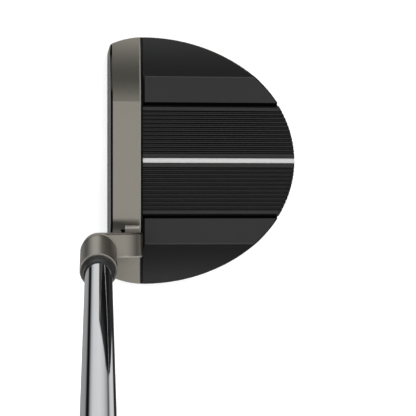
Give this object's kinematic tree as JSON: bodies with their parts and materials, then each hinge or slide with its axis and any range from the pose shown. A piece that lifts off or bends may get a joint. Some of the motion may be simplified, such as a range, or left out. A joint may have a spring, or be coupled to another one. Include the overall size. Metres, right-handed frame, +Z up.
{
  "type": "mallet putter",
  "caption": "Right-handed mallet putter: satin steel front frame with crank neck, black ribbed rear body with a white alignment line, tapered chrome shaft and black grip.",
  "frame": {"origin": "centre of the flat sole, on the ground, below the middle of the head", "axes": "+Z up; the face looks along -X and the body stretches back along +X; +Y is the toe and -Y the heel, towards which the shaft leans"},
  "size_m": [0.0889, 0.3812, 0.8385],
  "materials": {
    "frame_metal": "satin warm grey PVD coating over stainless steel",
    "body_black": "fine bead-blasted black anodising",
    "line_white": "smooth white",
    "insert_face": "matte grey polymer with fine horizontal lines",
    "insert_back": "matte",
    "adhesive": "cured adhesive and tape",
    "gasket_black": "matte black",
    "plate_metal": "dark anodised, fine brushed",
    "screw_steel": "dark plated",
    "weight_steel": "satin",
    "washer_rubber": "matte",
    "ferrule_plastic": "dark grey, satin",
    "shaft_chrome": "polished chrome plate on steel",
    "plug_plastic": "matte",
    "grip_foam": "closed-cell foam",
    "grip_skin": "soft textured polyurethane",
    "grip_cap": "satin black"
  },
  "bodies": {
    "root": {"front_frame": "frame_metal", "rear_body": "body_black", "alignment_line": "line_white", "joint_gasket": "gasket_black", "face_insert": "insert_face", "insert_backer": "insert_back", "insert_tape": "adhesive", "sole_plate": "plate_metal", "sole_plate_screws": "screw_steel", "frame_screws": "screw_steel", "locating_pins": "screw_steel", "toe_weight": "weight_steel", "heel_weight": "weight_steel", "weight_washers": "washer_rubber", "shaft": "shaft_chrome", "shaft_tip_plug": "plug_plastic", "epoxy_sleeve": "adhesive", "ferrule": "ferrule_plastic", "grip_tape": "adhesive", "grip_core": "grip_foam", "grip_skin": "grip_skin", "grip_cap": "grip_cap"}
  },
  "joints": []
}
